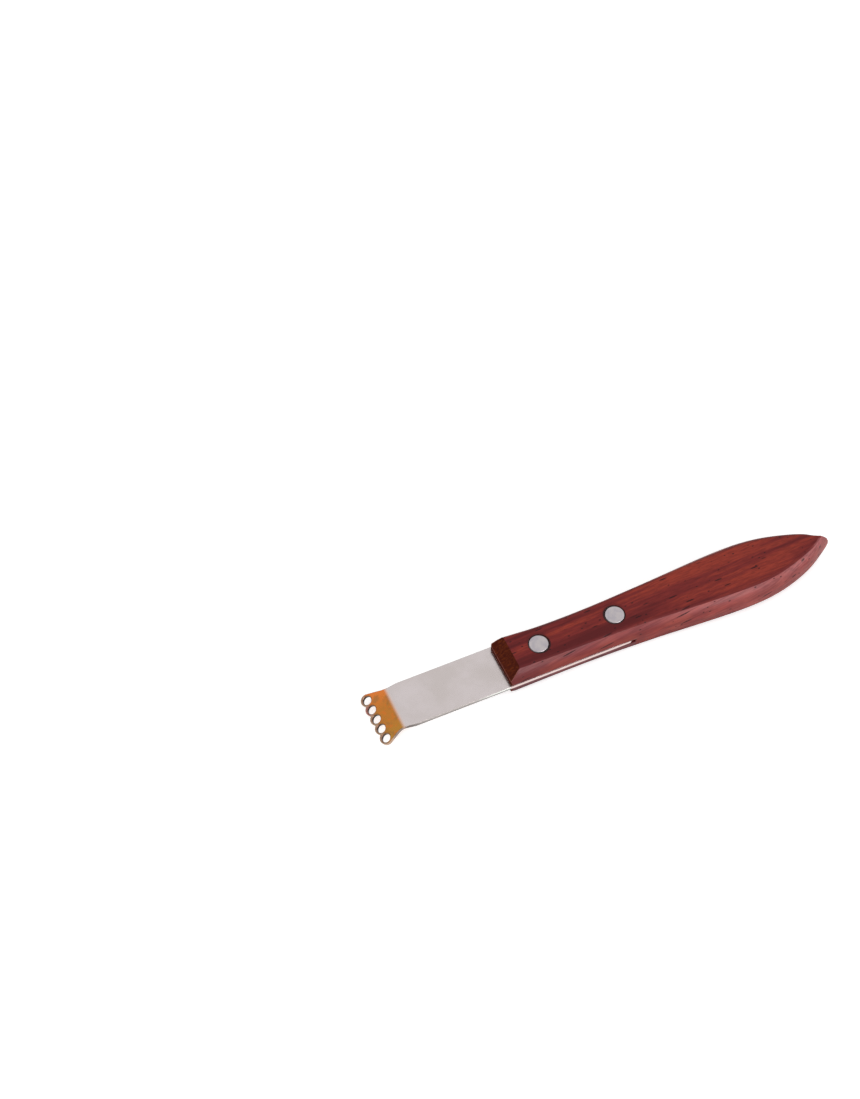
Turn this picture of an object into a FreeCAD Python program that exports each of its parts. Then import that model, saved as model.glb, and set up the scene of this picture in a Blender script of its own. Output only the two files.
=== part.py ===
import FreeCAD, Part
import math
import os

# Citrus zester, millimetres.
# +X runs along the tool from the cutting head to the butt, +Y across it, +Z up.
# The tool lies on the handle's flat underside, and the origin is on the table under its middle.

Vector = FreeCAD.Vector

# Handle
handle_length = 110.8
handle_thickness = 11.2

# Blade: one strip of sheet steel makes the tang, the blade and the cutting head
blade_reach = 41.6
blade_width = 15.0
blade_thickness = 1.2
tang_corner_radius = 0.8
waist_inset = 0.45
waist_ease_length = 4.2

# Cutting head: a row of rings, wider than the blade and bent down in front of it
hole_count = 5
head_overhang = 1.3
ring_overlap = 0.4
ring_wall = 0.58
ring_notch_radius = 0.4
hole_bevel = 0.25
head_bend_angle = 27.0
head_bend_radius = 5.5
head_flat_length = 3.5
flank_angle = 20.0
waist_fillet_radius = 4.0

# Handle outline from above. Its front is as wide as the blade, and stations are measured from the butt.
neck_width = 15.4
swell_width = 17.9
belly_width = 20.1
belly_from_butt = 33.7
taper_width = 18.1
point_width = 9.6
point_from_butt = 7.8
butt_radius = 0.25
butt_half_angle = 10.0

# How far the rims of the flat top and underside lie inside the widest line
front_inset = 2.55
far_shoulder_inset = 0.8
front_under_inset = 1.85
grip_inset = 2.15
grip_from_front = 16.0
neck_inset = 1.8
swell_inset = 2.2
belly_inset = 2.6
taper_inset = 2.5
point_inset = 2.2
butt_setback = 3.6

# Handle front end and softened edges
front_face_height = 4.8
front_bevel_length = 3.6
front_corner_radius = 1.0
rim_chamfer = 0.35
side_bands = 8

# Saw kerf that takes the tang
kerf_clearance = 0.06
kerf_end_gap = 1.0
saw_radius = 60.0

# Compression rivets: a hollow half pressed in from above over a solid half from below
rivet_count = 2
rivet_setback = 12.2
rivet_spacing = 25.0
rivet_tang_margin = 2.6
rivet_head_diameter = 6.0
rivet_head_thickness = 1.3
rivet_head_edge = 0.2
rivet_tube_diameter = 3.2
rivet_pin_diameter = 2.0
rivet_pin_lead = 0.3
rivet_grip_gap = 1.0
pin_end_gap = 0.6
head_side_gap = 0.15
shank_clearance = 0.05
pin_clearance = 0.01

# Places along the tool
overall_length = handle_length + blade_reach
butt_x = overall_length / 2
head_x = -overall_length / 2
front_x = butt_x - handle_length
rivet_xs = [front_x + rivet_setback + k * rivet_spacing for k in range(rivet_count)]
tang_end_x = rivet_xs[-1] + rivet_tang_margin
kerf_side_x = tang_end_x + kerf_end_gap
belly_x = butt_x - belly_from_butt
point_x = butt_x - point_from_butt
swell_x = (kerf_side_x + belly_x) / 2
taper_x = (belly_x + point_x) / 2

# Heights and half widths
top_z = handle_thickness
middle_z = handle_thickness / 2
half_blade = blade_width / 2
half_sheet = blade_thickness / 2
half_waist = half_blade - waist_inset

# The rings share out the head's width, each running a little into the next
row_width = blade_width + 2 * head_overhang
hole_pitch = (row_width - ring_overlap) / hole_count
ring_radius = (hole_pitch + ring_overlap) / 2
hole_radius = ring_radius - ring_wall
ring_ys = [(k - (hole_count - 1) / 2) * hole_pitch for k in range(hole_count)]

# The head's own frame: origin at the middle of the hole row, X up the head, Z out of its upper face
bend = math.radians(head_bend_angle)
hole_x = head_x + ring_radius * math.cos(bend) + half_sheet * math.sin(bend)
hole_z = middle_z - head_bend_radius * (1 - math.cos(bend)) - head_flat_length * math.sin(bend)
bend_x = hole_x + head_flat_length * math.cos(bend) + head_bend_radius * math.sin(bend)
head_normal = Vector(-math.sin(bend), 0, math.cos(bend))
head_axis = Vector(math.cos(bend), 0, math.sin(bend))
head_tilt = FreeCAD.Rotation(Vector(0, 1, 0), -head_bend_angle)
head_place = FreeCAD.Placement(Vector(hole_x, 0, hole_z), head_tilt)

# Spare length by which a cutter passes the surface that it cuts
past = 1.0


def line(start, end):
    return Part.LineSegment(start, end).toShape()


def arc(start, middle, end):
    return Part.Arc(start, middle, end).toShape()


def arc_about(centre, radius, first, last):
    """Arc in a level plane, from one angle to another."""
    def at(angle):
        return centre + Vector(math.cos(angle), math.sin(angle), 0) * radius
    return arc(at(first), at((first + last) / 2), at(last))


def spline(points, start_direction, end_direction, pace=None):
    """Smooth curve through the points. Curves that share one pace make one plain surface."""
    curve = Part.BSplineCurve()
    curve.interpolate(
        Points=points,
        Parameters=pace or paced(points),
        InitialTangent=start_direction,
        FinalTangent=end_direction,
    )
    return curve


def paced(points):
    """Each point's share of the way along the points."""
    lengths = [0.0]
    for start, end in zip(points, points[1:]):
        lengths.append(lengths[-1] + (end - start).Length)
    return [length / lengths[-1] for length in lengths]


def face(edges):
    return Part.Face(Part.Wire(edges))


def polygon_face(points):
    return Part.Face(Part.makePolygon(points + points[:1]))


def mirrored(point):
    return Vector(point.x, -point.y, point.z)


# Blade
def bent_strip():
    """The sheet's side view, with its one bend, drawn out wider than the head."""
    centre = Vector(bend_x, -row_width, middle_z - head_bend_radius)
    head_length = head_flat_length + ring_radius + past

    def surface(offset):
        radius = head_bend_radius + offset
        bend_start = centre + Vector(0, 0, radius)
        bend_middle = centre + Vector(-math.sin(bend / 2), 0, math.cos(bend / 2)) * radius
        bend_end = centre + head_normal * radius
        tang_end = Vector(tang_end_x, -row_width, middle_z + offset)
        return tang_end, bend_start, bend_middle, bend_end, bend_end - head_axis * head_length

    upper = surface(half_sheet)
    under = surface(-half_sheet)
    edges = [line(upper[4], under[4]), line(under[0], upper[0])]
    for side in (upper, under):
        edges += [line(side[0], side[1]), arc(*side[1:4]), line(side[3], side[4])]
    return face(Part.__sortEdges__(edges)).extrude(Vector(0, 2 * row_width, 0))


def blade_plan():
    """Tang and blade from above: rounded tang corners and a short ease in to the waist."""
    along = Vector(1, 0, 0)
    corner = tang_corner_radius * (1 - math.sqrt(0.5))
    far = [
        Vector(bend_x - head_bend_radius * math.sin(bend), half_waist, 0),
        Vector(bend_x, half_waist, 0),
        Vector(bend_x + waist_ease_length, half_blade, 0),
        Vector(tang_end_x - tang_corner_radius, half_blade, 0),
        Vector(tang_end_x - corner, half_blade - corner, 0),
        Vector(tang_end_x, half_blade - tang_corner_radius, 0),
    ]
    near = [mirrored(point) for point in far]
    edges = [line(far[0], near[0]), line(far[-1], near[-1])]
    for side in (far, near):
        edges += [line(side[0], side[1]), spline(side[1:3], along, along).toShape()]
        edges += [line(side[2], side[3]), arc(*side[3:])]
    return face(Part.__sortEdges__(edges)).extrude(Vector(0, 0, handle_thickness))


def head_plan():
    """The head in its own frame: straight flanks flare from the waist to a row of notched ring fronts."""
    flank = math.radians(flank_angle)
    flank_start = Vector(math.sin(flank), math.cos(flank), 0) * ring_radius + Vector(0, ring_ys[-1], 0)
    fillet_y = half_waist + waist_fillet_radius
    fillet_drop = fillet_y - waist_fillet_radius * math.cos(flank)
    flank_end = Vector(flank_start.x + (flank_start.y - fillet_drop) / math.tan(flank), fillet_drop, 0)
    fillet_x = flank_end.x + waist_fillet_radius * math.sin(flank)
    notch = math.asin(hole_pitch / 2 / (ring_radius + ring_notch_radius))
    notch_x = -(ring_radius + ring_notch_radius) * math.cos(notch)
    back_x = fillet_x + head_flat_length
    edges = [line(Vector(back_x, half_waist, 0), Vector(back_x, -half_waist, 0))]
    for side in (1, -1):
        quarter = -side * math.pi / 2
        ends = [flank_start, flank_end]
        edges.append(line(*ends if side > 0 else map(mirrored, ends)))
        fillet_centre = Vector(fillet_x, side * fillet_y, 0)
        edges.append(arc_about(fillet_centre, waist_fillet_radius, quarter, quarter - side * flank))
        edges.append(line(Vector(fillet_x, side * half_waist, 0), Vector(back_x, side * half_waist, 0)))
    flank_touch = math.pi / 2 - flank
    for k, y in enumerate(ring_ys):
        first = 2 * math.pi - flank_touch if k == 0 else math.pi + notch
        final = flank_touch if k == hole_count - 1 else math.pi - notch
        edges.append(arc_about(Vector(0, y, 0), ring_radius, first, final))
    for y in ring_ys[:-1]:
        centre = Vector(notch_x, y + hole_pitch / 2, 0)
        edges.append(arc_about(centre, ring_notch_radius, -notch, notch))
    plan = face(Part.__sortEdges__(edges))
    plan.translate(Vector(0, 0, -head_bend_radius))
    return placed_on_head(plan.extrude(Vector(0, 0, 2 * head_bend_radius)))


def placed_on_head(shape):
    shape.Placement = head_place.multiply(shape.Placement)
    return shape


def hole_cutter(y):
    """One cutting hole, with the bevel round its upper rim that gives it an edge."""
    bore = Part.makeCylinder(hole_radius, 2 * past + blade_thickness, Vector(0, y, -half_sheet - past))
    bevel_start = Vector(0, y, half_sheet - hole_bevel)
    bevel = Part.makeCone(hole_radius, hole_radius + 2 * hole_bevel, 2 * hole_bevel, bevel_start)
    return placed_on_head(bore.fuse(bevel))


def make_blade():
    strip = bent_strip()
    blade = strip.common(blade_plan()).fuse(strip.common(head_plan()))
    for y in ring_ys:
        blade = blade.cut(hole_cutter(y))
    for x in rivet_xs:
        blade = blade.cut(shank_hole(x))
    return blade.removeSplitter()


# Handle
def side_points(side, z):
    """Points of one side of the handle at one height, from the front round to the middle of the butt."""
    height = (z - middle_z) / middle_z
    rim = rim_chamfer if z in (0, top_z) else 0
    shoulder = front_under_inset if height < 0 else far_shoulder_inset if side > 0 else front_inset
    stations = [
        (front_x, half_blade, shoulder),
        (front_x + grip_from_front, half_blade, grip_inset),
        (kerf_side_x, neck_width / 2, neck_inset),
        (swell_x, swell_width / 2, swell_inset),
        (belly_x, belly_width / 2, belly_inset),
        (taper_x, taper_width / 2, taper_inset),
        (point_x, point_width / 2, point_inset),
    ]
    points = [Vector(x, side * (half - inset * height ** 2 - rim), z) for x, half, inset in stations]
    tip = Vector(butt_x - butt_setback * height ** 2 - rim, 0, z)
    half_angle = math.radians(butt_half_angle)
    to_tip_start = Vector(math.sin(half_angle) - 1, side * math.cos(half_angle), 0) * butt_radius
    return points + [tip + to_tip_start, tip]


def handle_outline(z):
    """The handle's outline at one height: two like sides and a straight front."""
    sides = []
    for side in (1, -1):
        points = side_points(side, z)
        pace = paced(side_points(side, middle_z))
        sides.append(spline(points, points[1] - points[0], Vector(0, -side, 0), pace))
    front = line(side_points(1, z)[0], side_points(-1, z)[0])
    return Part.Wire(Part.__sortEdges__([side.toShape() for side in sides] + [front]))


def handle_blank():
    """The handle before it is cut. Its arched sides are level bands, each of them straight in height."""
    band = (top_z - 2 * rim_chamfer) / side_bands
    heights = [0] + [rim_chamfer + band * level for level in range(side_bands + 1)] + [top_z]
    return Part.makeLoft([handle_outline(z) for z in heights], True, True)


def kerf_cutter():
    """Saw cut for the tang, open at the front and both sides, with the round end the saw leaves."""
    half_height = half_sheet + kerf_clearance
    centre_x = kerf_side_x - math.sqrt(saw_radius ** 2 - half_blade ** 2)
    ends = [Vector(centre_x + math.sqrt(saw_radius ** 2 - y ** 2), y, 0) for y in (row_width, -row_width)]
    corners = [Vector(front_x - past, y, 0) for y in (row_width, -row_width)]
    edges = [
        line(corners[0], ends[0]),
        arc(ends[0], Vector(centre_x + saw_radius, 0, 0), ends[1]),
        line(ends[1], corners[1]),
        line(corners[1], corners[0]),
    ]
    kerf = face(edges).extrude(Vector(0, 0, 2 * half_height))
    kerf.translate(Vector(0, 0, middle_z - half_height))
    return kerf


def front_bevel_cutter(outward):
    """Wedge that slopes the end grain back to the flat above (1) or below (-1)."""
    start_z = middle_z + outward * front_face_height / 2
    flat_z = middle_z + outward * middle_z
    slope = Vector(front_bevel_length, 0, flat_z - start_z)
    start = Vector(front_x, -row_width, start_z)
    outside = Vector(front_x - past, -row_width, flat_z + outward * middle_z)
    wedge = polygon_face([start - slope, start + slope * 2, outside])
    return wedge.extrude(Vector(0, 2 * row_width, 0))


def front_corner_cutter(side):
    """What rounds one upright corner of the front end: the corner's square less its quarter circle."""
    centre = Vector(front_x + front_corner_radius, side * (half_blade - front_corner_radius), 0)
    outer_y = side * (half_blade + past)
    points = [
        centre + Vector(0, side * front_corner_radius, 0),
        Vector(centre.x, outer_y, 0),
        Vector(front_x - past, outer_y, 0),
        Vector(front_x - past, centre.y, 0),
        centre - Vector(front_corner_radius, 0, 0),
    ]
    edges = [line(start, end) for start, end in zip(points, points[1:])]
    edges.append(arc_about(centre, front_corner_radius, math.pi, math.pi - side * math.pi / 2))
    return face(edges).extrude(Vector(0, 0, handle_thickness))


def shank_hole(x):
    radius = rivet_tube_diameter / 2 + shank_clearance
    return Part.makeCylinder(radius, top_z + 2 * past, Vector(x, 0, -past))


def head_seat(x, z):
    radius = rivet_head_diameter / 2 + head_side_gap
    return Part.makeCylinder(radius, rivet_head_thickness, Vector(x, 0, z))


def make_handle():
    handle = handle_blank()
    for side in (1, -1):
        handle = handle.cut(front_bevel_cutter(side)).cut(front_corner_cutter(side))
    handle = handle.cut(kerf_cutter())
    for x in rivet_xs:
        handle = handle.cut(shank_hole(x))
        handle = handle.cut(head_seat(x, 0)).cut(head_seat(x, top_z - rivet_head_thickness))
    return handle


# Rivets
def turned(profile, x):
    """Solid of revolution about the rivet's axis, from radius and height pairs."""
    points = [Vector(radius, 0, z) for radius, z in profile]
    turned_solid = polygon_face(points).revolve(Vector(0, 0, 0), Vector(0, 0, 1), 360)
    turned_solid.translate(Vector(x, 0, 0))
    return turned_solid


def make_rivet_tube(x):
    """Hollow half: its head is flush with the top, and its tube reaches down through the tang."""
    head_radius = rivet_head_diameter / 2
    tube_radius = rivet_tube_diameter / 2
    bore_radius = rivet_pin_diameter / 2 + pin_clearance
    under_head = top_z - rivet_head_thickness
    bore_end = under_head - rivet_head_thickness
    tube_end = rivet_head_thickness + rivet_grip_gap
    return turned([
        (0, top_z), (head_radius - rivet_head_edge, top_z), (head_radius, top_z - rivet_head_edge),
        (head_radius, under_head), (tube_radius, under_head),
        (tube_radius, tube_end), (bore_radius, tube_end), (bore_radius, bore_end), (0, bore_end),
    ], x)


def make_rivet_pin(x):
    """Solid half: its head is flush with the underside, and its pin is pressed up into the tube."""
    head_radius = rivet_head_diameter / 2
    pin_radius = rivet_pin_diameter / 2
    pin_end = top_z - 2 * rivet_head_thickness - pin_end_gap
    return turned([
        (0, 0), (head_radius - rivet_head_edge, 0), (head_radius, rivet_head_edge),
        (head_radius, rivet_head_thickness), (pin_radius, rivet_head_thickness),
        (pin_radius, pin_end - rivet_pin_lead), (pin_radius - rivet_pin_lead, pin_end), (0, pin_end),
    ], x)


def rivet_name(index):
    if index == 0:
        return "front"
    return "rear" if index == rivet_count - 1 else "middle_%d" % index


# Every piece, written to its own file
pieces = {"handle": make_handle(), "blade": make_blade()}
for index, x in enumerate(rivet_xs):
    pieces[rivet_name(index) + "_rivet_tube"] = make_rivet_tube(x)
    pieces[rivet_name(index) + "_rivet_pin"] = make_rivet_pin(x)

os.makedirs("parts", exist_ok=True)
for name, shape in pieces.items():
    shape.exportStep("parts/%s.step" % name)
    box = shape.BoundBox
    size = "%.2f x %.2f x %.2f mm" % (box.XLength, box.YLength, box.ZLength)
    print(name, shape.ShapeType, "valid" if shape.isValid() else "NOT VALID", size, round(shape.Volume, 1))
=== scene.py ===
import math

import bpy
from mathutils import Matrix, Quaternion, Vector


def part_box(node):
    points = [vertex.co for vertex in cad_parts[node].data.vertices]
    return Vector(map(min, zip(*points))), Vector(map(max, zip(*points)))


# Citrus zester, metres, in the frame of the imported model.
# The construction comes from the frame. This script adds the finish, the light and the camera.
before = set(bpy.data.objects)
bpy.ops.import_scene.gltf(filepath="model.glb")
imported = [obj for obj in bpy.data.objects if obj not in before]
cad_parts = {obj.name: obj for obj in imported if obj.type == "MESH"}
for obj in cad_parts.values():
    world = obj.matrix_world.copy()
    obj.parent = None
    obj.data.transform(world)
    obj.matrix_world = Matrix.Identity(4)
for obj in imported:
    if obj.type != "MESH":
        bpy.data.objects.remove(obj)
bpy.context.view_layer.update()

MM = 0.001

# Places read from the frame
handle_low, handle_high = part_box("handle")
blade_low, blade_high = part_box("blade")
tube_boxes = [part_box(name) for name in ("front_rivet_tube", "rear_rivet_tube")]
rivet_xs = [(low.x + high.x) / 2 for low, high in tube_boxes]
rivet_radius = (tube_boxes[0][1].y - tube_boxes[0][0].y) / 2
middle_z = (handle_low.z + handle_high.z) / 2

# Cutting head and kerf, as in the part's own drawing
HOLE_COUNT = 5
RING_OVERLAP = 0.4 * MM
RING_WALL = 0.58 * MM
HEAD_TILT = math.radians(27)
BEND_RADIUS = 5.5 * MM
HEAD_FLAT = 3.5 * MM
HALF_SHEET = 0.6 * MM
BEVEL_WIDTH = 0.25 * MM
KERF_PAST_TANG = 1.0 * MM
row_width = blade_high.y - blade_low.y
hole_pitch = (row_width - RING_OVERLAP) / HOLE_COUNT
ring_radius = (hole_pitch + RING_OVERLAP) / 2
hole_radius = ring_radius - RING_WALL
hole_x = blade_low.x + ring_radius * math.cos(HEAD_TILT) + HALF_SHEET * math.sin(HEAD_TILT)
hole_z = middle_z - BEND_RADIUS * (1 - math.cos(HEAD_TILT)) - HEAD_FLAT * math.sin(HEAD_TILT)
bend_x = hole_x + HEAD_FLAT * math.cos(HEAD_TILT) + BEND_RADIUS * math.sin(HEAD_TILT)
hole_place = Vector((hole_x, 0, hole_z))
head_axis = Vector((math.cos(HEAD_TILT), 0, math.sin(HEAD_TILT)))
head_normal = Vector((-math.sin(HEAD_TILT), 0, math.cos(HEAD_TILT)))

# Grain of the wood: how it turns, and in millimetres how far it drifts and where its middle is
GRAIN_ANGLES = (0, math.radians(9), math.radians(-2))
GRAIN_DRIFT = 1.4
HEART_Y = 2.0

# Radii over which the edges of the wood and of the sheet look eased, and over which the painted
# shade by the near rim of the top spreads
WOOD_EASE = 0.45 * MM
NEAR_RIM_EASE = 2.2 * MM
SHEET_EASE = 0.25 * MM

# Depth of the fine relief in each material
VESSEL_DEPTH = 0.05 * MM
BRUSH_DEPTH = 0.002 * MM
RIVET_RELIEF_DEPTH = 0.006 * MM

# Clear coat on the wood: open surface, sides, edges and end grain
OPEN_POLISH = 0.32
SIDE_POLISH = 0.42
EDGE_POLISH = 0.90
END_POLISH = 0.04

# Middle of the dark ring round the rivet heads, partly grime and partly painted shade in the gap,
# in the wood and on the metal, from the rivet's own axis
HEAD_DIRT_OFFSET = (-0.12 * MM, 0.12 * MM)
SEAT_DIRT_OFFSETS = ((0.10 * MM, -0.14 * MM), (-0.20 * MM, 0.02 * MM))

# Stretches over which a tone fades, in millimetres from a place that each function names
WOOD_SPANS = {
    "heart": (0.5, 6.0),
    "side_front": (5.0, 25.0),
    "side_butt": (0.0, 65.0),
    "upper_side": (-3.4, -1.0),
    "near_table": (0.8, 3.0),
    "kerf_end": (0.0, 0.5),
    "below_tang": (-0.9, -0.5),
    "above_tang": (0.7, 1.0),
    "upper_half": (0.0, 0.5),
    "rivet_seat": (-0.6, -0.3),
    "seat_dirt": (0.26, 0.52),
    "worn_edge": (-0.9, -0.5),
    "gloss": (2.0, 8.0),
}
STEEL_SPANS = {
    "halo": (-0.4, 0.9),
    "film": (-0.85, 0.40),
    "dull_edge": (0.0, 8.0),
    "bright_edge": (-14.0, -4.0),
    "lower_line": (0.0, 0.3),
    "kerf_lips": (0.30, 0.55),
    "into_kerf": (-0.4, 0.0),
    "ring_front": (-0.6, 0.6),
    "rosy_ring": (1.2, 1.9),
    "bevel": (0.0, 0.08),
    "flank": (1.2, 3.0),
}
RIVET_DIRT_SPAN = (-0.06, 0.06)
VESSEL_EDGE_SPAN = (-0.04, 0.04)

# Cosines over which a surface comes to face a direction
FACING_SPANS = {
    "eased_edge": (0.92, 0.995),
    "wood_top": (0.60, 0.92),
    "wood_front": (-0.60, -0.45),
    "near_rim": (-0.30, -0.02),
    "sheet_side": (0.6, 0.8),
    "head_top": (0.35, 0.60),
}

# Amber on the head, a painted reflection and partly a dried residue of peel oil: how its end
# slants, and in millimetres where its far and near hues fade
FILM_SLANT = 0.009
FAR_FILM_START = 1.0
FAR_FILM_MARGIN = 1.0
NEAR_FILM_END = -1.5

# Camera: solved from the photograph's straight edges and rivets
CAMERA_PLACE = Vector((-0.2011, -0.3075, 0.5603))
CAMERA_AIM = Vector((-0.0359, 0.0473, 0.0056))
CAMERA_ROLL = math.radians(0.7)
CAMERA_LENS = 73.0
CAMERA_CLIP_START = 0.01
SENSOR_LONG_SIDE = 36.0

# Light: the white that shiny surfaces show, a softer share of it on matt surfaces, and lamps
SURROUND_STRENGTH = 1.0
AMBIENT_STRENGTH = 0.42
LAMPS = {
    "side_lamp": {"place": (0.28, -0.95, 0.38), "size": 0.55, "power": 4.8, "shine": True},
    "top_lamp": {"place": (-0.45, -0.30, 1.00), "size": 0.9, "power": 6.0, "shine": False},
    "butt_lamp": {"place": (0.95, -0.60, 0.22), "size": 0.55, "power": 4.8, "shine": True},
}

FLOOR_SIZE = 4.0
FLOOR_ALBEDO = 0.9
FLOOR_ROUGHNESS = 0.9
FLOOR_LIFT = 0.43
FAR_FLOOR_LIFT = 0.66
NEAR_FLOOR_RADIUS = 0.25
FAR_FLOOR_RADIUS = 0.80


def colour(red, green, blue):
    """Linear colour from the 0 to 255 values of a screen."""
    def linear(value):
        share = value / 255
        return share / 12.92 if share <= 0.04045 else ((share + 0.055) / 1.055) ** 2.4
    return (linear(red), linear(green), linear(blue), 1.0)


def palette(**screen_values):
    """Named colours from the 0 to 255 values of a screen."""
    return {name: colour(*values) for name, values in screen_values.items()}


WOOD = palette(
    dark_streak=(86, 23, 25),
    red_brown=(116, 38, 36),
    light_streak=(144, 54, 41),
    fibre=(80, 23, 24),
    near_rim=(78, 22, 25),
    side=(150, 76, 68),
    warm_patch=(150, 70, 56),
    side_front=(70, 40, 42),
    side_butt=(186, 108, 104),
    upper_side=(172, 112, 120),
    side_lines=(88, 34, 36),
    near_table=(84, 46, 50),
    below_tang=(88, 60, 66),
    above_tang=(60, 24, 24),
    seat_dirt=(40, 16, 18),
    vessel=(44, 12, 16),
    end_grain=(70, 25, 17),
    end_fleck=(112, 52, 24),
    worn_edge=(184, 122, 112),
)
STEEL = palette(
    sheet=(195, 186, 184),
    pale_sheet=(204, 195, 195),
    dull_edge=(92, 82, 78),
    grey_edge=(160, 154, 150),
    bright_edge=(208, 210, 205),
    lower_line=(98, 92, 90),
    edge_in_kerf=(214, 194, 190),
    kerf_lips=(120, 84, 82),
    halo=(220, 176, 152),
    outline=(98, 74, 56),
    ring_front=(174, 146, 120),
    rosy_ring=(176, 120, 112),
    bevel=(128, 92, 60),
    front_bevel=(140, 96, 84),
    front_flank=(176, 146, 122),
    rear_flank=(128, 112, 104),
    hole_wall=(52, 38, 26),
    film=(184, 118, 52),
    far_film=(216, 122, 58),
    near_film=(174, 126, 54),
    dull_patch=(150, 106, 60),
    warm_patch=(212, 112, 46),
)
ALUMINIUM = palette(grey=(172, 166, 172), pale=(187, 180, 181), dirt=(46, 20, 22))


def past(place, span):
    """A stretch counted from a place."""
    return (place + span[0], place + span[1])


class Graph:
    """One material and short calls for the nodes that make it."""

    def __init__(self, name):
        self.material = bpy.data.materials.new(name)
        self.material.use_nodes = True
        self.tree = self.material.node_tree
        self.shader = self.tree.nodes["Principled BSDF"]

    def node(self, kind, inputs, **settings):
        made = self.tree.nodes.new("ShaderNode" + kind)
        for name, value in settings.items():
            setattr(made, name, value)
        for key, value in inputs.items():
            self.feed(made.inputs[key], value)
        return made

    def feed(self, socket, value):
        if isinstance(value, bpy.types.NodeSocket):
            self.tree.links.new(value, socket)
        else:
            socket.default_value = value

    def math(self, operation, first, second=0.0, third=0.0):
        return self.node("Math", {0: first, 1: second, 2: third}, operation=operation).outputs[0]

    def product(self, first, second):
        return self.math("MULTIPLY", first, second)

    def difference(self, first, second):
        return self.math("SUBTRACT", first, second)

    def magnitude(self, value):
        return self.math("ABSOLUTE", value)

    def length(self, first, second):
        return self.math("SQRT", self.math("ADD", *[self.product(v, v) for v in (first, second)]))

    def split(self, vector):
        return self.node("SeparateXYZ", {0: vector}).outputs

    def stretched(self, axes, scales):
        """A place with each of its axes scaled."""
        scaled = [self.product(axis, scale) for axis, scale in zip(axes, scales)]
        return self.node("CombineXYZ", dict(enumerate(scaled))).outputs[0]

    def offset(self, vector, origin):
        return self.node("VectorMath", {0: vector, 1: origin}, operation="SUBTRACT").outputs[0]

    def dot(self, vector, direction):
        inputs = {0: vector, 1: direction}
        return self.node("VectorMath", inputs, operation="DOT_PRODUCT").outputs["Value"]

    def turned(self, vector, angles):
        inputs = {"Vector": vector, "Rotation": angles}
        return self.node("Mapping", inputs, vector_type="POINT").outputs[0]

    def place(self):
        """Place in the row's frame, in metres."""
        return self.node("TexCoord", {}).outputs["Object"]

    def millimetres(self):
        """Place in the row's frame, in millimetres."""
        inputs = {0: self.place(), "Scale": 1 / MM}
        return self.node("VectorMath", inputs, operation="SCALE").outputs[0]

    def facing(self):
        """Direction in which the surface faces, in the row's frame."""
        return self.node("TexCoord", {}).outputs["Normal"]

    def softened(self, radius):
        """Surface direction with the edges eased over a small radius."""
        return self.node("Bevel", {"Radius": radius}, samples=8).outputs[0]

    def edges(self, eased):
        """1 along the edges that the eased direction rounds, and 0 on the open surface."""
        surface = self.node("NewGeometry", {}).outputs["Normal"]
        return self.ramp(self.dot(eased, surface), FACING_SPANS["eased_edge"], start=1.0, end=0.0)

    def noise(self, vector, scale, detail, roughness=0.55):
        inputs = {"Vector": vector, "Scale": scale, "Detail": detail, "Roughness": roughness}
        return self.node("TexNoise", inputs).outputs[0]

    def ramp(self, value, span, start=0.0, end=1.0):
        """Smooth step from one level to another while a value crosses a span."""
        inputs = {"Value": value, "From Min": span[0], "From Max": span[1]}
        inputs.update({"To Min": start, "To Max": end})
        return self.node("MapRange", inputs, interpolation_type="SMOOTHSTEP").outputs[0]

    def mix(self, share, first, second):
        """Colour between two others."""
        return self.node("Mix", {0: share, 6: first, 7: second}, data_type="RGBA").outputs[2]

    def blend(self, share, first, second):
        """Number between two others."""
        return self.node("Mix", {0: share, 2: first, 3: second}, data_type="FLOAT").outputs[0]

    def bump(self, height, depth, strength, normal=None):
        inputs = {"Height": height, "Distance": depth, "Strength": strength}
        if normal:
            inputs["Normal"] = normal
        return self.node("Bump", inputs).outputs[0]

    def finish(self, **values):
        for name, value in values.items():
            self.feed(self.shader.inputs[name.replace("_", " ")], value)
        return self.material


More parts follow.
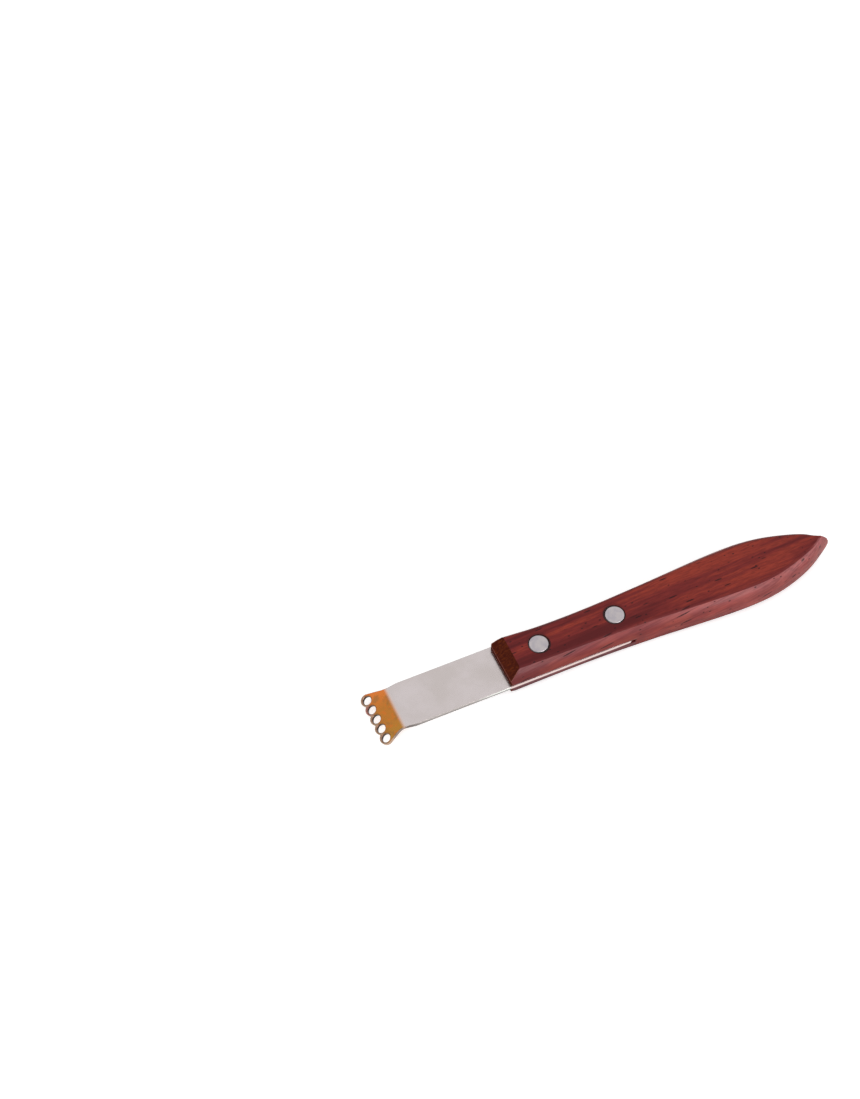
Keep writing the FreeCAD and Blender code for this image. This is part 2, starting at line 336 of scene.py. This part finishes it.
# Wood
def wood_material():
    """Oiled rosewood with straight streaks and dark vessels, and dull end grain in front."""
    wood = Graph("rosewood")
    place = wood.millimetres()
    axes = wood.split(place)
    x, y, z = axes
    along, across, depth = wood.split(wood.turned(place, GRAIN_ANGLES))
    drift = wood.noise(place, scale=0.025, detail=1.0)
    grain = (along, wood.math("MULTIPLY_ADD", drift, GRAIN_DRIFT, across), depth)
    facing = wood.split(wood.facing())
    upward = wood.magnitude(facing[2])
    side = wood.ramp(upward, FACING_SPANS["wood_top"], start=1.0, end=0.0)
    end_grain = wood.ramp(facing[0], FACING_SPANS["wood_front"], start=1.0, end=0.0)
    eased = wood.softened(WOOD_EASE)
    edges = wood.edges(eased)
    pores = vessels(wood, place, grain, side)

    base = streak_colour(wood, grain)
    # Painted shade: the top is drawn darker beside its near rim
    base = wood.mix(near_rim(wood, side), base, WOOD["near_rim"])
    base = side_tones(wood, base, side, axes, grain)
    base = shade_beside_kerf(wood, base, side, x, z)
    # Dark ring round the rivet heads: partly grime, partly painted shade
    base = wood.mix(rivet_seat_dirt(wood, x, y, z), base, WOOD["seat_dirt"])
    base = wood.mix(wood.product(pores, 0.85), base, WOOD["vessel"])
    base = wood.mix(end_grain, base, end_grain_colour(wood, axes))
    # Painted highlight, partly wear: the eased edges of the end grain below the top are drawn
    # lighter
    worn_edge = past(handle_high.z / MM, WOOD_SPANS["worn_edge"])
    below_top = wood.ramp(z, worn_edge, start=0.75, end=0.0)
    worn = wood.product(edges, wood.product(end_grain, below_top))
    base = wood.mix(worn, base, WOOD["worn_edge"])

    normal = wood.bump(wood.difference(0.0, pores), VESSEL_DEPTH, 0.6, eased)
    polish = wood_polish(wood, z, side, end_grain, edges, eased)
    surface = {"Base_Color": base, "Roughness": 0.6, "Specular_IOR_Level": 0.0}
    coat = {"Coat_Weight": polish, "Coat_Roughness": 0.30, "Coat_Normal": normal}
    return wood.finish(Normal=normal, **surface, **coat)


def streak_colour(wood, grain):
    """Straight streaks, lightest along the middle, over broad bands and fine fibre."""
    streaks = wood.noise(wood.stretched(grain, (0.012, 1.0, 0.35)), scale=0.62, detail=4.0)
    bands = wood.noise(wood.stretched(grain, (0.05, 1.0, 0.5)), scale=0.17, detail=1.0)
    fibres = wood.stretched(grain, (0.05, 1.0, 0.7))
    fibres = wood.noise(fibres, scale=2.8, detail=4.0, roughness=0.6)
    from_heart = wood.magnitude(wood.difference(grain[1], HEART_Y))
    heart = wood.ramp(from_heart, WOOD_SPANS["heart"], start=0.06, end=-0.05)
    tone = wood.math("MULTIPLY_ADD", bands, 0.6, wood.math("MULTIPLY_ADD", streaks, 0.7, heart))
    base = wood.mix(wood.ramp(tone, (0.49, 0.66)), WOOD["dark_streak"], WOOD["red_brown"])
    base = wood.mix(wood.ramp(tone, (0.64, 0.80)), base, WOOD["light_streak"])
    return wood.mix(wood.ramp(fibres, (0.36, 0.62), start=0.45, end=0.0), base, WOOD["fibre"])


def near_rim(wood, side):
    """More than 0 on the top beside its near edge, where shade is painted as darker wood."""
    towards_far = wood.split(wood.softened(NEAR_RIM_EASE))[1]
    rim = wood.ramp(towards_far, FACING_SPANS["near_rim"], start=0.6, end=0.0)
    return wood.product(rim, wood.difference(1.0, side))


def side_tones(wood, base, side, axes, grain):
    """Sides: lighter by their grain and a painted sheen, with warm patches and fine slanting lines,
    and painted light and highlight that leave them palest at the butt and the top.
    """
    x, z = axes[0], axes[2]
    patches = wood.noise(wood.stretched(axes, (0.4, 1.0, 1.0)), scale=0.22, detail=3.0)
    lines = wood.stretched(grain, (0.04, 0.5, 1.0))
    lines = wood.noise(lines, scale=1.9, detail=4.0, roughness=0.6)
    upper = past(handle_high.z / MM, WOOD_SPANS["upper_side"])
    shares = {
        # The lighter sides are partly grain and partly painted sheen; the butt and the upper side
        # get painted light and highlight
        "side": 0.13,
        "warm_patch": wood.ramp(patches, (0.45, 0.62), end=0.35),
        "side_front": wood.ramp(x, WOOD_SPANS["side_front"], start=0.08, end=0.0),
        "side_butt": wood.ramp(x, WOOD_SPANS["side_butt"], end=0.22),
        "upper_side": wood.ramp(z, upper, end=0.16),
        "side_lines": wood.ramp(lines, (0.38, 0.56), start=0.45, end=0.0),
    }
    for name, share in shares.items():
        base = wood.mix(wood.product(side, share), base, WOOD[name])
    return base


def shade_beside_kerf(wood, base, side, x, z):
    """Painted shade: the sides darken towards the table, below the tang, and in a thin line above
    it.
    """
    near_table = wood.ramp(z, WOOD_SPANS["near_table"], start=0.65, end=0.0)
    base = wood.mix(near_table, base, WOOD["near_table"])
    middle = middle_z / MM
    kerf_end = past((blade_high.x + KERF_PAST_TANG) / MM, WOOD_SPANS["kerf_end"])
    beside_kerf = wood.product(side, wood.ramp(x, kerf_end, start=1.0, end=0.0))
    below = wood.ramp(z, past(middle, WOOD_SPANS["below_tang"]), start=0.55, end=0.0)
    base = wood.mix(wood.product(beside_kerf, below), base, WOOD["below_tang"])
    above = wood.ramp(z, past(middle, WOOD_SPANS["above_tang"]), start=0.55, end=0.0)
    line = wood.product(above, wood.ramp(z, past(middle, WOOD_SPANS["upper_half"])))
    return wood.mix(wood.product(beside_kerf, line), base, WOOD["above_tang"])


def rivet_seat_dirt(wood, x, y, z):
    """More than 0 in the dark ring round the rivet heads, partly grime and partly painted shade in
    the gap, a little wider on one side of each.
    """
    distances = []
    for rivet_x, (aside, across) in zip(rivet_xs, SEAT_DIRT_OFFSETS):
        beside = wood.difference(x, (rivet_x + aside) / MM)
        distances.append(wood.length(beside, wood.difference(y, across / MM)))
    nearest = wood.math("MINIMUM", *distances)
    edge = past(rivet_radius / MM, WOOD_SPANS["seat_dirt"])
    upper = wood.ramp(z, past(handle_high.z / MM, WOOD_SPANS["rivet_seat"]))
    return wood.product(upper, wood.ramp(nearest, edge, start=0.95, end=0.0))


def vessels(wood, place, grain, side):
    """1 on the dark vessels: thin spindles along the grain, and short specks in clusters."""
    spindles = wood.stretched(grain, (0.10, 1.0, 1.0))
    spindles = spots(wood, spindles, 0.75, wood.product(side, 0.31), 0.19)
    clusters = wood.noise(place, scale=0.09, detail=1.0)
    clusters = wood.ramp(clusters, (0.40, 0.65), start=-0.22, end=0.15)
    specks = spots(wood, wood.stretched(grain, (0.5, 1.0, 1.0)), 0.9, clusters, 0.18)
    return wood.math("MAXIMUM", spindles, specks)


def spots(wood, vector, scale, favour, radius):
    """1 in the middle of some of the cells of a pattern, more of them where they are favoured."""
    cells = wood.node("TexVoronoi", {"Vector": vector, "Scale": scale}, feature="F1")
    chosen = wood.math("ADD", favour, wood.split(cells.outputs["Color"])[0])
    edge = past(radius, VESSEL_EDGE_SPAN)
    near = wood.ramp(cells.outputs["Distance"], edge, start=1.0, end=0.0)
    return wood.product(near, wood.ramp(chosen, (0.60, 0.65)))


def end_grain_colour(wood, axes):
    flecks = wood.stretched(axes, (0.7, 1.6, 0.7))
    flecks = wood.noise(flecks, scale=1.3, detail=4.0, roughness=0.7)
    return wood.mix(wood.ramp(flecks, (0.42, 0.78)), WOOD["end_grain"], WOOD["end_fleck"])


def wood_polish(wood, z, side, end_grain, edges, eased):
    """Clear coat: strongest at a glancing angle on edges and sides, weakest on the end grain."""
    glancing = wood.node("LayerWeight", {"Blend": 0.5, "Normal": eased}).outputs["Facing"]
    strongest = wood.blend(edges, SIDE_POLISH, EDGE_POLISH)
    gloss = wood.ramp(glancing, (0.25, 0.60), start=OPEN_POLISH, end=strongest)
    gloss = wood.product(gloss, wood.ramp(z, WOOD_SPANS["gloss"], start=0.15))
    polish = wood.blend(wood.math("MAXIMUM", edges, side), OPEN_POLISH, gloss)
    return wood.blend(end_grain, polish, END_POLISH)


# Metal
def steel_material():
    """Satin stainless sheet with amber painted on the cutting head, a painted reflection and partly
    a dried residue of peel oil.
    """
    steel = Graph("satin_steel")
    place = steel.millimetres()
    axes = steel.split(place)
    x, y, z = axes
    facing = steel.facing()
    cloud = steel.noise(place, scale=0.12, detail=3.0)
    brushed = steel.noise(steel.stretched(axes, (0.15, 1.0, 1.0)), scale=9.0, detail=3.0)
    base = steel.mix(steel.ramp(cloud, (0.3, 0.7)), STEEL["sheet"], STEEL["pale_sheet"])
    across = steel.magnitude(steel.split(facing)[1])
    sideways = steel.ramp(across, FACING_SPANS["sheet_side"])
    base = steel.mix(sideways, base, edge_colour(steel, x, z))

    film_line = steel.math("MULTIPLY_ADD", y, FILM_SLANT, bend_x / MM)
    from_bend = steel.difference(x, film_line)
    # Painted highlight: a lighter band along the bend where the amber ends
    halo = steel.ramp(from_bend, STEEL_SPANS["halo"], start=0.55, end=0.0)
    base = steel.mix(halo, base, STEEL["halo"])
    # Painted reflection on the head past the bend, partly a dried residue of peel oil
    film = steel.ramp(from_bend, STEEL_SPANS["film"], start=1.0, end=0.0)
    base = steel.mix(film, base, head_colour(steel, place, facing))
    eased = steel.softened(SHEET_EASE)
    # Painted shade: a dark line along the sheet's eased edges, stronger on the head
    outline = steel.product(steel.edges(eased), steel.blend(film, 0.15, 0.75))
    base = steel.mix(outline, base, STEEL["outline"])

    roughness = steel.ramp(brushed, (0.2, 0.8), start=0.20, end=0.30)
    normal = steel.bump(brushed, BRUSH_DEPTH, 0.12, eased)
    return steel.finish(Base_Color=base, Metallic=1.0, Roughness=roughness, Normal=normal)


def edge_colour(steel, x, z):
    """The sheet's cut edge: dull by the head and bright towards the handle, with painted shade
    along its lower line and at the kerf's lips, and inside the kerf bright and pink, partly a
    painted reflection of the wood.
    """
    front = handle_low.x / MM
    from_head = steel.ramp(x, past(bend_x / MM, STEEL_SPANS["dull_edge"]))
    outside = steel.mix(from_head, STEEL["dull_edge"], STEEL["grey_edge"])
    to_handle = steel.ramp(x, past(front, STEEL_SPANS["bright_edge"]))
    outside = steel.mix(to_handle, outside, STEEL["bright_edge"])
    below = steel.difference(middle_z / MM, z)
    lower_line = steel.ramp(below, STEEL_SPANS["lower_line"], end=0.9)
    outside = steel.mix(lower_line, outside, STEEL["lower_line"])
    lips = steel.ramp(steel.magnitude(below), STEEL_SPANS["kerf_lips"])
    inside = steel.mix(lips, STEEL["edge_in_kerf"], STEEL["kerf_lips"])
    return steel.mix(steel.ramp(x, past(front, STEEL_SPANS["into_kerf"])), outside, inside)


def head_colour(steel, place, facing):
    """Colours of the cutting head under the amber: painted reflection on the flat and ring fronts,
    painted reflection and shade on the bevels, lit front flanks and shaded rear ones, and painted
    shade in the hole walls.
    """
    y = steel.split(place)[1]
    along = steel.dot(steel.offset(place, tuple(hole_place / MM)), head_axis)
    front = steel.ramp(along, STEEL_SPANS["ring_front"], start=1.0, end=0.0)
    from_rosy_ring = steel.magnitude(steel.difference(y, hole_pitch / MM))
    rosy = steel.ramp(from_rosy_ring, STEEL_SPANS["rosy_ring"], start=1.0, end=0.0)
    ring_front = steel.mix(rosy, STEEL["ring_front"], STEEL["rosy_ring"])
    flat = steel.mix(front, film_on_flat(steel, place, y), ring_front)
    bevel_end = past((hole_radius + BEVEL_WIDTH) / MM, STEEL_SPANS["bevel"])
    inside = steel.ramp(hole_distance(steel, along, y), bevel_end, start=1.0, end=0.0)
    bevel = steel.mix(front, STEEL["bevel"], STEEL["front_bevel"])
    flat = steel.mix(steel.product(inside, 0.6), flat, bevel)

    upright = steel.magnitude(steel.dot(facing, head_normal))
    wall = steel.ramp(upright, FACING_SPANS["head_top"], start=1.0, end=0.0)
    from_front = steel.ramp(along, STEEL_SPANS["flank"])
    flank = steel.mix(from_front, STEEL["front_flank"], STEEL["rear_flank"])
    return steel.mix(wall, flat, steel.mix(inside, flank, STEEL["hole_wall"]))


def film_on_flat(steel, place, y):
    """Painted reflection, partly a dried residue: amber, redder towards the far flank and golden
    towards the near one, with dull patches.
    """
    half_row = row_width / 2 / MM
    far = steel.ramp(y, (FAR_FILM_START, half_row - FAR_FILM_MARGIN))
    film = steel.mix(far, STEEL["film"], STEEL["far_film"])
    near = steel.ramp(y, (-half_row, NEAR_FILM_END), start=1.0, end=0.0)
    film = steel.mix(near, film, STEEL["near_film"])
    dull = steel.noise(place, scale=0.42, detail=2.0)
    film = steel.mix(steel.ramp(dull, (0.48, 0.68), end=0.6), film, STEEL["dull_patch"])
    warm = steel.noise(place, scale=0.9, detail=2.0)
    return steel.mix(steel.ramp(warm, (0.52, 0.70), end=0.5), film, STEEL["warm_patch"])


def hole_distance(steel, along, y):
    """Distance from the axis of the nearest cutting hole, in millimetres."""
    pitch = hole_pitch / MM
    last = HOLE_COUNT // 2
    index = steel.math("ROUND", steel.math("DIVIDE", y, pitch))
    index = steel.math("MAXIMUM", steel.math("MINIMUM", index, last), -last)
    return steel.length(along, steel.difference(y, steel.product(index, pitch)))


def rivet_material():
    """Matt aluminium, faintly cloudy, with a dark line round the head's edge, partly grime and
    partly painted shade in the gap.
    """
    metal = Graph("rivet_aluminium")
    place = metal.millimetres()
    cloud = metal.noise(place, scale=0.6, detail=4.0)
    base = metal.mix(metal.ramp(cloud, (0.35, 0.65)), ALUMINIUM["grey"], ALUMINIUM["pale"])
    x, y = metal.split(place)[:2]
    aside, across = (offset / MM for offset in HEAD_DIRT_OFFSET)
    beside = [metal.magnitude(metal.difference(x, rivet_x / MM + aside)) for rivet_x in rivet_xs]
    from_axis = metal.length(metal.math("MINIMUM", *beside), metal.difference(y, across))
    dirt = metal.ramp(from_axis, past(rivet_radius / MM, RIVET_DIRT_SPAN))
    base = metal.mix(dirt, base, ALUMINIUM["dirt"])
    roughness = metal.ramp(cloud, (0.2, 0.8), start=0.34, end=0.44)
    relief = metal.noise(place, scale=6.0, detail=3.0)
    normal = metal.bump(relief, RIVET_RELIEF_DEPTH, 0.5)
    return metal.finish(Base_Color=base, Metallic=1.0, Roughness=roughness, Normal=normal)


def give(node, material):
    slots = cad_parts[node].data.materials
    slots.clear()
    slots.append(material)


def dress_pieces():
    give("handle", wood_material())
    give("blade", steel_material())
    rivets = rivet_material()
    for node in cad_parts:
        if "rivet" in node:
            give(node, rivets)


# Light
def rays_that_see_white(tree):
    """1 for rays from the camera, off shiny surfaces or through clear ones, 0 for soft light."""
    path = tree.nodes.new("ShaderNodeLightPath")
    share = path.outputs["Is Camera Ray"]
    for output in ("Is Glossy Ray", "Is Transmission Ray"):
        largest = tree.nodes.new("ShaderNodeMath")
        largest.operation = "MAXIMUM"
        tree.links.new(share, largest.inputs[0])
        tree.links.new(path.outputs[output], largest.inputs[1])
        share = largest.outputs[0]
    return share


def make_world():
    world = bpy.data.worlds.new("studio")
    bpy.context.scene.world = world
    world.use_nodes = True
    tree = world.node_tree
    background = tree.nodes["Background"]
    background.inputs["Color"].default_value = (1, 1, 1, 1)
    strength = tree.nodes.new("ShaderNodeMapRange")
    strength.inputs["To Min"].default_value = AMBIENT_STRENGTH
    strength.inputs["To Max"].default_value = SURROUND_STRENGTH
    tree.links.new(rays_that_see_white(tree), strength.inputs["Value"])
    tree.links.new(strength.outputs[0], background.inputs["Strength"])


def make_lamp(name, place, size, power, shine):
    lamp = bpy.data.lights.new(name, "AREA")
    lamp.size = size
    lamp.energy = power
    obj = bpy.data.objects.new(name, lamp)
    obj.location = place
    obj.rotation_mode = "QUATERNION"
    obj.rotation_quaternion = (-Vector(place)).to_track_quat("-Z", "Y")
    obj.visible_camera = False
    obj.visible_glossy = shine
    bpy.context.scene.collection.objects.link(obj)


def floor_material():
    """White, and lifted to full white where the camera or a shiny surface sees it."""
    white = Graph("floor_white")
    distance = white.node("VectorMath", {0: white.place()}, operation="LENGTH").outputs["Value"]
    reach = {"From Min": NEAR_FLOOR_RADIUS, "From Max": FAR_FLOOR_RADIUS}
    levels = {"To Min": FLOOR_LIFT, "To Max": FAR_FLOOR_LIFT}
    lift = white.node("MapRange", {"Value": distance, **reach, **levels}).outputs[0]
    light = {
        "Emission_Color": (1, 1, 1, 1),
        "Emission_Strength": white.product(rays_that_see_white(white.tree), lift),
    }
    surface = {"Roughness": FLOOR_ROUGHNESS, "Specular_IOR_Level": 0.0}
    albedo = (FLOOR_ALBEDO, FLOOR_ALBEDO, FLOOR_ALBEDO, 1)
    return white.finish(Base_Color=albedo, **surface, **light)


def make_floor():
    half = FLOOR_SIZE / 2
    corners = [(-half, -half, 0), (half, -half, 0), (half, half, 0), (-half, half, 0)]
    mesh = bpy.data.meshes.new("floor")
    mesh.from_pydata(corners, [], [(0, 1, 2, 3)])
    mesh.materials.append(floor_material())
    floor = bpy.data.objects.new("floor", mesh)
    floor.location.z = handle_low.z
    bpy.context.scene.collection.objects.link(floor)


# Camera
def make_camera():
    data = bpy.data.cameras.new("camera")
    data.sensor_fit = "AUTO"
    data.sensor_width = SENSOR_LONG_SIDE
    data.lens = CAMERA_LENS
    data.clip_start = CAMERA_CLIP_START
    camera = bpy.data.objects.new("camera", data)
    camera.location = CAMERA_PLACE
    camera.rotation_mode = "QUATERNION"
    level = (CAMERA_AIM - CAMERA_PLACE).to_track_quat("-Z", "Y")
    camera.rotation_quaternion = level @ Quaternion((0, 0, 1), CAMERA_ROLL)
    bpy.context.scene.collection.objects.link(camera)
    bpy.context.scene.camera = camera


dress_pieces()
make_world()
for name, lamp in LAMPS.items():
    make_lamp(name, **lamp)
make_floor()
make_camera()
bpy.context.scene.view_settings.view_transform = "Standard"
